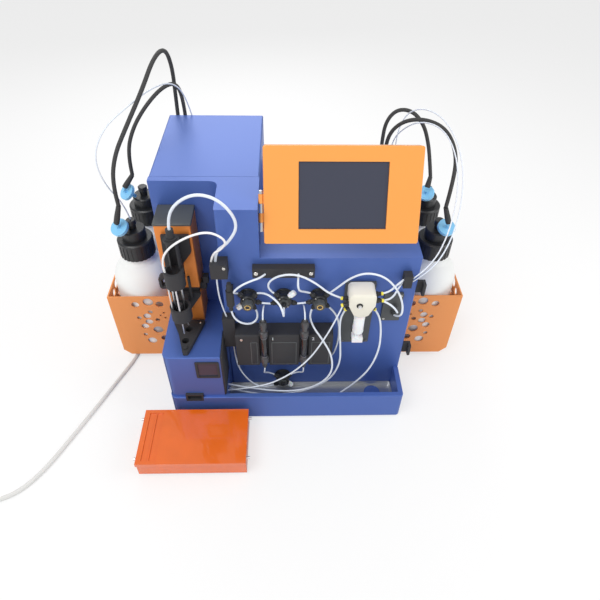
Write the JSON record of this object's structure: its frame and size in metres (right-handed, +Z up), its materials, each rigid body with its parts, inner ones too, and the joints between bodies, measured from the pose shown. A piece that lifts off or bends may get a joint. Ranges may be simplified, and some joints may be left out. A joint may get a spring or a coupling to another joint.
{
  "type": "magnetic cell separator",
  "caption": "Bench cell separator: fluid panel with valves, magnet unit and syringe pump, lifting needle head, tilted touch screen, side bottle holders, sampler stage.",
  "frame": {"origin": "on the bench, under the middle of the instrument without its tubing and power cord", "axes": "+X to the instrument's right seen from the front, +Y to its back, +Z up"},
  "size_m": [0.8129, 0.7543, 0.4921],
  "materials": {
    "blue_paint": "glossy blue paint",
    "navy_paint": "glossy dark blue paint",
    "screen_orange": "glossy orange moulding",
    "arm_orange": "glossy deep orange paint",
    "holder_orange": "satin orange powder coat",
    "black_plastic": "matt black moulding",
    "black_anodised": "black anodised",
    "dark_metal": "dark nickel",
    "grey_metal": "grey anodised",
    "steel": "bright steel",
    "chrome": "bright chrome",
    "rubber": "matt",
    "dark_glass": "dark cover glass",
    "clear_glass": "clear",
    "cream_plastic": "cream moulding",
    "column_grey": "dark grey moulding",
    "bottle_white": "translucent white",
    "sky_blue": "sky blue",
    "boot_red": "coloured sleeve",
    "board_green": "solder mask",
    "clear_tube": "translucent tubing",
    "black_hose": "satin black",
    "grey_cord": "light grey sheath"
  },
  "bodies": {
    "housing": {"arm_base_block": "arm_orange", "arm_cap": "arm_orange", "arm_collar": "black_plastic", "arm_column": "arm_orange", "base_pan": "blue_paint", "bottle_caps": "black_plastic", "bottle_filters": "sky_blue", "bottle_holder_left": "holder_orange", "bottle_holder_right": "holder_orange", "bottle_hoses": "black_hose", "bottles": "bottle_white", "control_board": "board_green", "cord_coil": "grey_cord", "dock_port": "dark_metal", "drip_tray": "steel", "fan_frame": "black_plastic", "feet": "rubber", "fluid_lines": "clear_tube", "front_fascia": "blue_paint", "hose_boots": "boot_red", "hose_ports": "black_plastic", "line_sensors": "black_plastic", "magnet_housing": "black_plastic", "needle_guide": "black_anodised", "needle_lines": "clear_tube", "nose_cover": "blue_paint", "nose_side_plate": "navy_paint", "port_plate": "black_plastic", "power_cord": "grey_cord", "power_inlet": "black_plastic", "power_plugs": "grey_cord", "power_supply": "grey_metal", "pump_frame": "grey_metal", "pump_head": "cream_plastic", "reader_bezel": "black_plastic", "reader_window": "dark_glass", "rear_cover": "blue_paint", "rear_panel": "blue_paint", "sampler_base": "arm_orange", "sampler_rails": "steel", "screen_hinge": "chrome", "separation_columns": "column_grey", "syringe_barrel": "clear_glass", "tube_clamps": "black_plastic", "valve_1": "black_plastic", "valve_2": "black_plastic", "valve_3": "black_plastic", "valve_4": "black_plastic", "wash_station": "black_plastic"},
    "needle_head": {"needle_carriage": "black_anodised", "needles": "steel"},
    "lift_screw": {"lift_screw": "steel"},
    "magnets": {"magnet_slide": "steel"},
    "plunger": {"pump_plunger": "steel"},
    "pump_screw": {"pump_screw": "steel"},
    "screen": {"screen_housing": "screen_orange", "screen_glass": "dark_glass"},
    "sampler_deck": {"sampler_deck": "arm_orange"},
    "fan_rotor": {"fan_rotor": "black_plastic"},
    "power_switch": {"power_switch": "black_plastic"}
  },
  "joints": [
    {"name": "needle_lift", "type": "slide", "parent": "housing", "child": "needle_head", "axis": [0, 0, 1], "range_m": [-0.038, 0.006], "deforming": ["needle_lines"]},
    {"name": "lift_screw_turn", "type": "hinge", "parent": "housing", "child": "lift_screw", "pos_m": [-0.154, -0.013, 0.27], "axis": [0, 0, 1], "range_deg": [-720, 180]},
    {"name": "magnet_advance", "type": "slide", "parent": "housing", "child": "magnets", "axis": [0, 1, 0], "range_m": [0, 0.014]},
    {"name": "plunger_stroke", "type": "slide", "parent": "housing", "child": "plunger", "axis": [0, 0, 1], "range_m": [-0.021, 0]},
    {"name": "pump_screw_turn", "type": "hinge", "parent": "housing", "child": "pump_screw", "pos_m": [0.106, -0.038, 0.19], "axis": [0, 0, 1], "range_deg": [-660, 30]},
    {"name": "screen_swing", "type": "hinge", "parent": "housing", "child": "screen", "pos_m": [-0.0336, -0.05277, 0.33665], "axis": [0, 0.4147, 0.91], "range_deg": [-75, 0]},
    {"name": "sampler_travel", "type": "slide", "parent": "housing", "child": "sampler_deck", "axis": [1, 0, 0], "range_m": [-0.03, 0.03]},
    {"name": "fan_spin", "type": "hinge", "parent": "housing", "child": "fan_rotor", "pos_m": [0.095, 0.192, 0.15], "axis": [0, 1, 0], "continuous": true},
    {"name": "power_rocker", "type": "hinge", "parent": "housing", "child": "power_switch", "pos_m": [-0.09, 0.2065, 0.032], "axis": [1, 0, 0], "range_deg": [-16, 0]}
  ],
  "couplings": [
    {"joint": "lift_screw_turn", "follows": "needle_lift", "rad_per_m": 314.16},
    {"joint": "pump_screw_turn", "follows": "plunger_stroke", "rad_per_m": 523.6}
  ]
}
